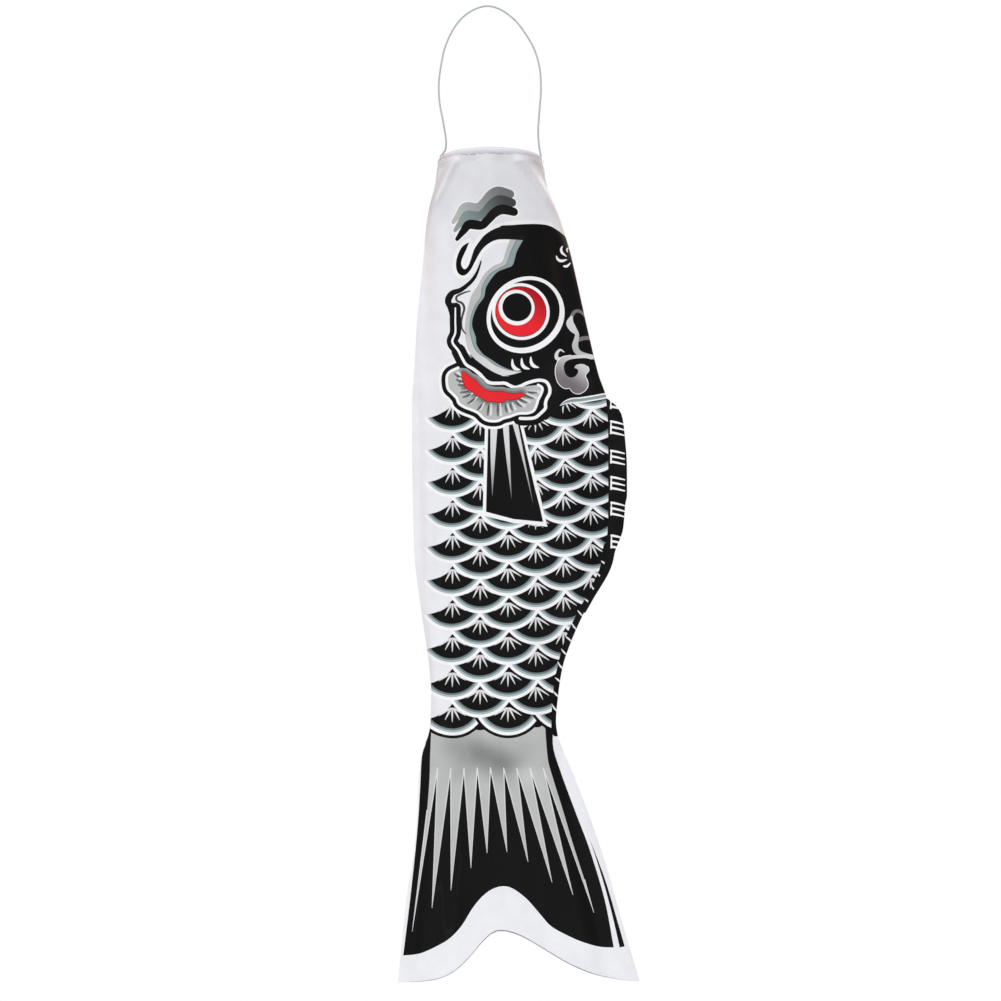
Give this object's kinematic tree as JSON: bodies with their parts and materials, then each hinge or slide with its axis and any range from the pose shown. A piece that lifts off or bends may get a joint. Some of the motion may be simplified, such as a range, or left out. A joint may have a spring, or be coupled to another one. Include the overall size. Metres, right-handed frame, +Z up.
{
  "type": "carp streamer",
  "caption": "Fish-shaped cloth windsock, printed on both sides, held open at the mouth by a hoop and hung from a loop of cord so that it fills and flutters in the wind.",
  "frame": {"origin": "underside of the top of the cord loop, where it rests on a hook", "axes": "+Z up, from the tail to the hanging point; +X from the belly fold to the back seam and dorsal fin; +Y through the two printed sides, towards the far side"},
  "size_m": [0.1965, 0.0916, 0.823],
  "materials": {
    "cord": "smooth twisted nylon cord, pale grey-green",
    "hoop_wire": "bare springy wire",
    "sleeve_plastic": "soft clear-white tube",
    "satin": "white polyester satin printed in black, greys and red",
    "thread": "white polyester sewing thread",
    "printed_fin": "black printed polyester satin with white stripes"
  },
  "bodies": {
    "cord": {"hanging_cord": "cord"},
    "mouth": {"cord_knot_left": "cord", "cord_knot_right": "cord", "mouth_hoop": "hoop_wire", "hoop_sleeve": "sleeve_plastic", "mouth_hem_front": "satin", "mouth_hem_back": "satin", "hem_thread_front": "thread", "hem_thread_back": "thread", "head_cloth": "satin", "back_seam_head": "satin"},
    "body": {"body_cloth": "satin", "back_seam_body": "satin", "dorsal_fin_foot": "printed_fin"},
    "rear": {"rear_cloth": "satin", "back_seam_rear": "satin"},
    "tail": {"tail_cloth": "satin", "back_seam_tail": "satin"},
    "fin": {"dorsal_fin": "printed_fin"}
  },
  "joints": [
    {"name": "mouth_tilt", "type": "hinge", "parent": "cord", "child": "mouth", "pos_m": [0.003, 0, -0.1352], "axis": [1, 0, 0], "range_deg": [-50, 50]},
    {"name": "neck_bend", "type": "hinge", "parent": "mouth", "child": "body", "pos_m": [0, 0, -0.3166], "axis": [1, 0, 0], "range_deg": [-35, 35]},
    {"name": "rear_bend", "type": "hinge", "parent": "body", "child": "rear", "pos_m": [0, 0, -0.5446], "axis": [1, 0, 0], "range_deg": [-40, 40]},
    {"name": "tail_bend", "type": "hinge", "parent": "rear", "child": "tail", "pos_m": [0, 0, -0.6286], "axis": [1, 0, 0], "range_deg": [-45, 45]},
    {"name": "fin_flap", "type": "hinge", "parent": "body", "child": "fin", "pos_m": [0.1019, 0, -0.403], "axis": [0, 0, 1], "range_deg": [-75, 75]}
  ]
}
